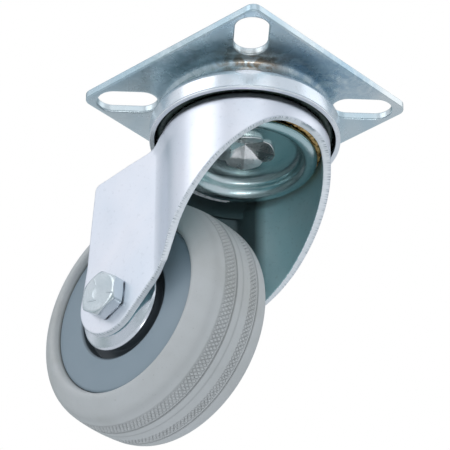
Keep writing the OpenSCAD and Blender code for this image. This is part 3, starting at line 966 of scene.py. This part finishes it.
def nut_field(x, y, z):
    u, v = x - TRAIL, z - AXLE_Z
    r = np.hypot(u, v)
    d = hexagon(u, v, 11.11, 0.15)
    d = cut_round(d, (NUT_Y - 5.6) - y, 0.15)
    d = cut_round(d, (y - (NUT_Y - 0.04)), 0.1)
    d = cut_round(d, (NUT_Y - 5.6 - y) * 0.84 + (r - 5.5) * 0.54, 0.2)
    d = cut_round(d, (y - NUT_Y) * 0.84 + (r - 5.7) * 0.54, 0.2)
    collar = cut_round(r - 5.25, NUT_Y - 7.17 - y, 0.7)
    collar = np.maximum(collar, y - (NUT_Y - 4))
    d = union_round(d, collar, 0.35)
    seat = np.maximum(r - 4.62, y - (NUT_Y - 5.2))
    d = cut_round(d, -np.maximum(seat, NUT_Y - 6.82 - y), 0.05)
    mouth = np.maximum(r - 3.75, y - (NUT_Y - 6.0))
    d = cut_round(d, -mouth, 0.15)
    return cut_round(d, 3.2 - r, 0.15)


net_piece("axle_nut_steel", [net(nut_field, (24.0, -26.0, -63.2), (38.6, -17.9, -49.3), 0.15)], FORK_M, [M_BOLT_SHADED], "fork", ["axle_nut"])
turned("nut_lock_ring", rounded([(3.2, NUT_Y - 6.75, 0.25), (4.58, NUT_Y - 6.75, 0.1), (4.58, NUT_Y - 5.22, 0.1), (3.2, NUT_Y - 5.22, 0.1)], True, 4),
       about_axle, M_NYLON, "fork", ["nut_insert"], segs=96)
turned("flat_washer", rounded([(3.35, -LEG_OUT - 1.19, 0.1), (7.36, -LEG_OUT - 1.19, 0.35), (7.36, -LEG_OUT - 0.02, 0.12), (3.35, -LEG_OUT - 0.02, 0.1)], True, 4),
       about_axle, M_SMALL, "fork", ["nut_washer"], segs=128)
turned("spacer_sleeve", rounded([(3.3, -14.04, 0.2), (4.73, -14.04, 0.2), (4.73, 14.04, 0.2), (3.3, 14.04, 0.2)], True, 4),
       about_axle, M_SLEEVE, "fork", ["axle_sleeve"], segs=96)

for side, s in (("left", 1), ("right", -1)):
    prof = rounded([(3.3, s * 15.03), (8.6, s * 15.03, 1.5), (9.6, s * 14.72, 1.5), (12.3, s * 13.35, 0.9), (12.72, s * 12.85, 0.3), (12.6, s * 12.34, 0.12),
                    (12.2, s * 12.36, 0.1), (12.0, s * 12.75, 0.4), (9.0, s * 13.8, 1.5), (8.3, s * 14.02, 1.0), (3.3, s * 14.05)], True, 5)
    turned("thread_guard_" + side + "_cap", prof, about_axle, M_SMALL, "fork", ["thread_guard_" + side], segs=192)


# ------------------------------------------------------------------ wheel
def hub_half(s):
    return [(23.45, s * 5.5, 0.3), (23.45, s * 10.72, 0.35), (22.9, s * 10.98, 0.5), (14.9, s * 11.76, 0.3), (14.32, s * 11.4, 0.25), (14.3, s * 8.65, 0.5),
            (10.92, s * 8.65, 0.5), (10.88, s * 11.85, 0.3), (6.35, s * 11.85, 0.2)]


turned("hub_moulding", rounded([(25.25, -4.25, 0.4), (25.25, 4.25, 0.4)] + hub_half(1) + hub_half(-1)[::-1], True, 5),
       about_axle, M_HUB, "wheel", ["hub"], segs=224)
for side, s in (("left", 1), ("right", -1)):
    prof = rounded([(4.87, s * 1.52, 0.1), (6.28, s * 1.52, 0.1), (6.28, s * 11.92), (8.16, s * 11.92, 0.1), (8.16, s * 13.3, 0.35), (7.8, s * 13.56, 0.2), (4.87, s * 13.56, 0.15)], True, 4)
    turned("bush_" + side + "_flanged", prof, about_axle, M_BUSH, "wheel", ["bush_" + side], segs=128)

TYRE_SEGS = 1280


def tyre_profile():
    """(radius, distance from the middle, knurl height) over the tread, then down to the hub."""
    def crown(y):
        return 31.47 - 0.55 * (abs(y) / 7.6) ** 2.2
    pts = [(23.52, 5.6), (23.52, 10.35), (23.62, 10.75), (23.8, 11.35), (24.02, 11.95), (24.3, 12.38), (24.75, 12.62), (25.4, 12.62),
           (26.2, 12.25), (27.3, 11.55), (28.15, 10.98), (28.8, 10.52), (29.25, 10.16), (29.7, 9.72), (30.12, 9.2), (30.47, 8.6), (30.74, 7.9), (30.92, 7.2)]
    out = [(r, y, 0) for r, y in pts]
    y = 6.95
    while y > -6.96:
        r, kn = crown(y), 0.0
        if 3.15 < y < 6.55:
            kn = min(1, (y - 3.15) / 0.3, (6.55 - y) / 0.3)
        elif -4.75 < y < -2.05:
            kn = min(1, (y + 4.75) / 0.3, (-2.05 - y) / 0.3)
        r -= 0.60 * math.exp(-((y - 2.8) / 0.17) ** 2)       # mould line beside the first band
        r -= 0.20 * math.exp(-((y - 0.6) / 0.15) ** 2)
        r -= 0.46 * math.exp(-((y + 5.25) / 0.16) ** 2)
        r -= 0.20 * math.exp(-((y - 6.75) / 0.14) ** 2)
        out.append((r - 0.10 * kn, y, kn))
        y -= 0.15 if kn or abs(y - 2.8) < 0.5 or abs(y + 5.25) < 0.5 else 0.3
    out += [(r, -yy, 0) for r, yy in pts[::-1]]
    return out + [(25.27, -4.2, 0), (25.27, 4.2, 0)]


TP = tyre_profile()


def tyre_bump(i, r, h, a):
    k = TP[i][2]
    if k <= 0:
        return r, h
    return r + k * (0.10 - 0.42 * knurl(a, h)), h


def knurl(a, h):
    """1 in the crossed grooves of a band, 0 on its raised diamonds."""
    p, q = a * 160 / (2 * math.pi), (h - 3.15) / 1.7 if h > 0 else (h + 4.75) / 1.35
    s1 = abs(((p + q) % 1.0) - 0.5) * 2
    s2 = abs(((p - q) % 1.0) - 0.5) * 2
    return max(0.0, 1 - min(s1, s2) / 0.5)


def tyre_dirt():
    """Darker in the knurl grooves and along the mould lines; painted shade in the gap along the hub and a band of
    painted shade on the shoulder.
    """
    out = []
    for r, h, k in TP:
        line = (0.85 * math.exp(-((h - 2.8) / 0.22) ** 2) + 0.65 * math.exp(-((h + 5.25) / 0.22) ** 2)
                + 0.30 * math.exp(-((h - 0.6) / 0.2) ** 2) + 0.35 * math.exp(-((h - 6.75) / 0.2) ** 2)) if r > 30.9 else 0
        # Painted shade in the gap along the hub.
        if r < 23.7:
            line = 1.0 if r < 23.6 else 0.6
        for j in range(TYRE_SEGS):
            a = 2 * math.pi * j / TYRE_SEGS
            fade = 0.72 + 0.28 * math.sin(5 * a + h) * math.sin(11 * a + 1.3)
            # The band 9 mm from the middle is painted shade on the shoulder.
            out.append(max(line, (0.34 * fade * knurl(a, h) * min(1, k * 1.5)) if k > 0 else 0, 0.10 * math.exp(-((h - 9.0) / 0.8) ** 2)))
    return out


v_, f_ = revolve_data([(r, h) for r, h, _ in TP], about_axle, TYRE_SEGS, True, tyre_bump)
finish_mesh("tyre_rubber_ring", v_, f_, M_TYRE, "wheel", ["tyre"], sharp=55, weighted=False, dirt=tyre_dirt())


# ------------------------------------------------------------------ grease in the races; the upper ring is a near-black painted shadow
def grease(name, body, R, z0, half_r, half_z, seed, mat, segs=420, round_=14):
    verts, faces = [], []
    rng = np.random.RandomState(seed)
    ph = rng.rand(10) * 2 * math.pi
    am = rng.rand(10)
    for k in range(segs):
        a = 2 * math.pi * k / segs
        lump = sum(am[j] * math.sin((3 + 7 * j) * a + ph[j]) for j in range(10)) / 5
        for j in range(round_):
            b = 2 * math.pi * j / round_
            g = 0.90 + 0.10 * math.tanh(lump * (1 + 0.5 * math.sin(b + 5 * a)))
            verts.append(about_pivot(R + half_r * g * math.cos(b), z0 + half_z * g * math.sin(b), a))
    for k in range(segs):
        for j in range(round_):
            k2, j2 = (k + 1) % segs, (j + 1) % round_
            faces.append((k * round_ + j, k * round_ + j2, k2 * round_ + j2, k2 * round_ + j))
    ob = finish_mesh(name, verts, faces, mat, body, weighted=False)
    return ob


# Near-black ring filling the gap by the upper balls: a painted shadow.
grease("upper_race_grease_shadow", "upper_ball_ring", 21.75, -11.55, 1.3, 1.2, 4, M_GREASE_SHADOW)
grease("lower_race_grease", "lower_ball_ring", 18.85, -16.55, 1.1, 1.7, 9, M_GREASE)


# ------------------------------------------------------------------ stage and light
def area(name, loc, size, energy, target=(0, 0.01, -0.04), color=(1, 1, 1), size_y=None):
    li = bpy.data.lights.new(name, "AREA")
    li.shape = "RECTANGLE"
    li.size = size
    li.size_y = size_y or size
    li.energy = energy
    li.color = color
    ob = bpy.data.objects.new(name, li)
    bpy.context.scene.collection.objects.link(ob)
    ob.location = loc
    d = Vector(target) - Vector(loc)
    ob.rotation_euler = d.to_track_quat("-Z", "Y").to_euler()
    return ob


def floor():
    me = bpy.data.meshes.new("floor")
    s, z = 6.0, -0.85
    me.from_pydata([(-s, -s, z), (s, -s, z), (s, s, z), (-s, s, z)], [], [(0, 1, 2, 3)])
    ob = bpy.data.objects.new("floor", me)
    bpy.context.scene.collection.objects.link(ob)
    m, nt, b = nodes_of("floor_paper")
    co = mapped(nt)
    n1 = noise(nt, 6, 3, 0.5, co)
    col = ramp(nt, n1.outputs["Fac"], [(0.3, (0.80, 0.81, 0.82)), (0.7, (0.84, 0.85, 0.86))])
    nt.links.new(col.outputs["Color"], b.inputs["Base Color"])
    b.inputs["Roughness"].default_value = 0.9
    me.materials.append(m)
    return ob


floor()


def studio():
    """White seamless behind the object; for light and reflections a soft room, bright above and dim below."""
    world = bpy.data.worlds.new("studio")
    bpy.context.scene.world = world
    world.use_nodes = True
    nt = world.node_tree
    nt.nodes.clear()
    out = nt.nodes.new("ShaderNodeOutputWorld")
    mix = nt.nodes.new("ShaderNodeMixShader")
    white = nt.nodes.new("ShaderNodeBackground")
    white.inputs["Color"].default_value = (1, 1, 1, 1)
    white.inputs["Strength"].default_value = 1.0
    room = nt.nodes.new("ShaderNodeBackground")
    lp = nt.nodes.new("ShaderNodeLightPath")
    tc = nt.nodes.new("ShaderNodeTexCoord")
    sep = nt.nodes.new("ShaderNodeSeparateXYZ")
    nt.links.new(tc.outputs["Generated"], sep.inputs["Vector"])
    r1 = ramp(nt, map_range(nt, sep.outputs["Z"], 0, 1, -1, 1), [
        (0.0, (0.40, 0.45, 0.47)), (0.22, (0.26, 0.32, 0.34)), (0.35, (0.20, 0.26, 0.27)), (0.5, (0.34, 0.41, 0.43)), (0.62, (0.62, 0.67, 0.72)), (1.0, (0.85, 0.88, 0.94))])
    dot = nt.nodes.new("ShaderNodeVectorMath")
    dot.operation = "DOT_PRODUCT"
    nt.links.new(tc.outputs["Generated"], dot.inputs[0])
    dot.inputs[1].default_value = (0.04, 0.84, -0.54)
    r2 = ramp(nt, dot.outputs["Value"], [(0.55, (0, 0, 0)), (0.9, (0.62, 0.68, 0.70))])
    dot2 = nt.nodes.new("ShaderNodeVectorMath")
    dot2.operation = "DOT_PRODUCT"
    nt.links.new(tc.outputs["Generated"], dot2.inputs[0])
    dot2.inputs[1].default_value = (0.0, 0.84, 0.54)
    r3 = ramp(nt, dot2.outputs["Value"], [(0.60, (1, 1, 1)), (0.92, (0.30, 0.38, 0.40))])
    card = nt.nodes.new("ShaderNodeMix")
    card.data_type = "RGBA"
    card.blend_type = "MULTIPLY"
    card.inputs["Factor"].default_value = 1.0
    nt.links.new(r1.outputs["Color"], card.inputs["A"])
    nt.links.new(r3.outputs["Color"], card.inputs["B"])
    add = nt.nodes.new("ShaderNodeMix")
    add.data_type = "RGBA"
    add.blend_type = "ADD"
    add.inputs["Factor"].default_value = 1.0
    nt.links.new(card.outputs["Result"], add.inputs["A"])
    nt.links.new(r2.outputs["Color"], add.inputs["B"])
    nt.links.new(add.outputs["Result"], room.inputs["Color"])
    room.inputs["Strength"].default_value = 1.0
    nt.links.new(lp.outputs["Is Camera Ray"], mix.inputs["Fac"])
    nt.links.new(room.outputs["Background"], mix.inputs[1])
    nt.links.new(white.outputs["Background"], mix.inputs[2])
    nt.links.new(mix.outputs["Shader"], out.inputs["Surface"])


studio()
bpy.context.scene.view_settings.view_transform = "Standard"
bpy.context.scene.view_settings.look = "None"
area("key", (-0.85, -0.48, 0.45), 0.7, 1.3)
area("front", (0.10, -1.05, 0.60), 0.8, 0.6)
area("right", (1.0, 0.05, 0.62), 0.8, 0.9)
area("low_front", (0.05, -0.62, -0.90), 0.45, 3.1)
